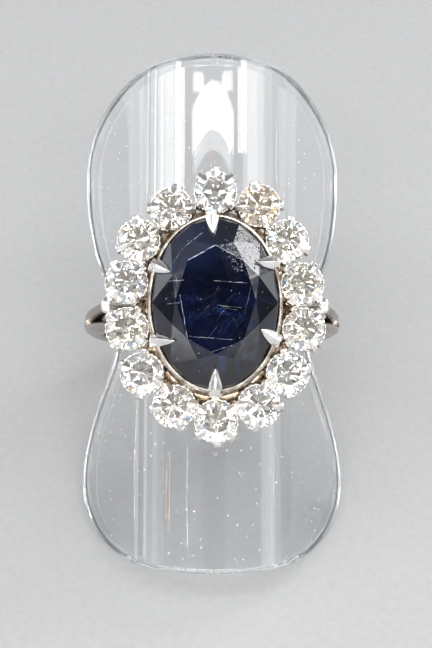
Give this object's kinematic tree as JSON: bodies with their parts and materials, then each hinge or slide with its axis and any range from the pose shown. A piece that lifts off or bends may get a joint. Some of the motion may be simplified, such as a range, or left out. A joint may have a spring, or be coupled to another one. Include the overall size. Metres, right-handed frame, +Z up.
{
  "type": "cluster ring and ring stand",
  "caption": "Oval cluster ring: a dark blue sapphire in talon claws inside a halo of round diamonds on a fork-shouldered band, held by a bent clear ring stand.",
  "frame": {"origin": "on the floor plane, at the middle of the bounding box's bottom, between the ring stand's lower edges and the back of the band", "axes": "+Z up from the floor, +Y from the stand's low front edge to its raised end, +X to the right as the head faces the viewer"},
  "size_m": [0.0208, 0.0346, 0.0268],
  "materials": {
    "white_gold": "polished white gold, darker in the recesses",
    "sapphire": "dark blue, polished facets with a worn table",
    "diamond": "colourless, brilliant cut",
    "clear_acrylic": "clear acrylic, lightly scratched"
  },
  "bodies": {
    "root": {"ring_mount": "white_gold", "sapphire": "sapphire", "diamond_01": "diamond", "diamond_02": "diamond", "diamond_03": "diamond", "diamond_04": "diamond", "diamond_05": "diamond", "diamond_06": "diamond", "diamond_07": "diamond", "diamond_08": "diamond", "diamond_09": "diamond", "diamond_10": "diamond", "diamond_11": "diamond", "diamond_12": "diamond", "diamond_13": "diamond", "diamond_14": "diamond", "stand": "clear_acrylic"}
  },
  "joints": []
}
